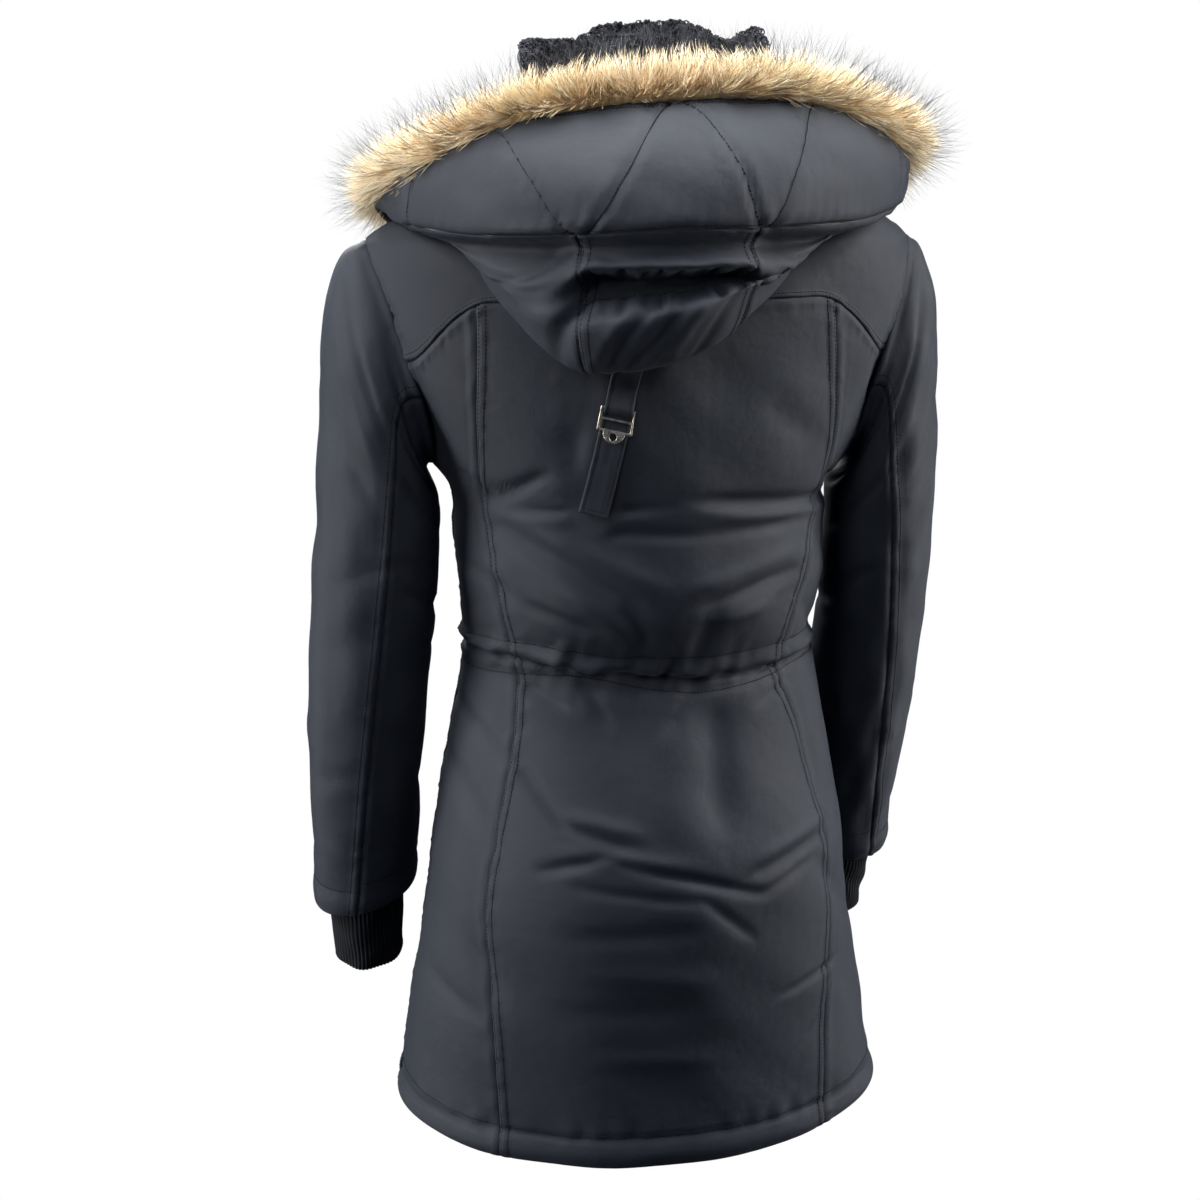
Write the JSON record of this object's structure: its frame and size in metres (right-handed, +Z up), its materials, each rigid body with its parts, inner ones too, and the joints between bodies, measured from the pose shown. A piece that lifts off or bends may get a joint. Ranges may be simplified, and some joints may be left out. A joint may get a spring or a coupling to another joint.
{
  "type": "hooded parka",
  "caption": "Hooded parka in dark twill with a drawn-in waist, knitted cuffs, a pile-lined stand collar and a fur-edged hood lying back, in its worn hollow shape.",
  "frame": {"origin": "middle of the neck opening, level with the collar seam at the back", "axes": "+Z up, -Y the coat's front, +X the wearer's left"},
  "size_m": [0.5615, 0.3425, 0.9536],
  "materials": {
    "shell": "dark charcoal cotton-like twill with a soft sheen",
    "rib": "black ribbed knit",
    "pile": "black curly pile",
    "fur": "long tan fur with dark brown tips",
    "metal": "pale antique brass",
    "tape": "black woven zip tape with dark moulded teeth"
  },
  "bodies": {
    "coat": {"back_centre": "shell", "back_side_left": "shell", "back_side_right": "shell", "yoke": "shell", "front_left": "shell", "front_right": "shell", "sleeve_upper_left": "shell", "sleeve_under_left": "shell", "sleeve_upper_right": "shell", "sleeve_under_right": "shell", "rib_cuff_left": "rib", "rib_cuff_right": "rib", "collar": "shell", "collar_pile": "pile", "hood_brim": "shell", "hood_crown": "shell", "hood_side_left": "shell", "hood_side_right": "shell", "hood_lining": "pile", "fur_trim": "fur", "hood_strap": "shell", "hood_buckle": "metal", "zip_left": "tape", "zip_right": "tape", "zip_slider": "metal"},
    "pull": {"zip_pull": "metal"}
  },
  "joints": [
    {"name": "pull_swing", "type": "hinge", "parent": "coat", "child": "pull", "pos_m": [0, -0.0902, 0.05487], "axis": [-1, 0, 0], "range_deg": [-4, 110]}
  ]
}
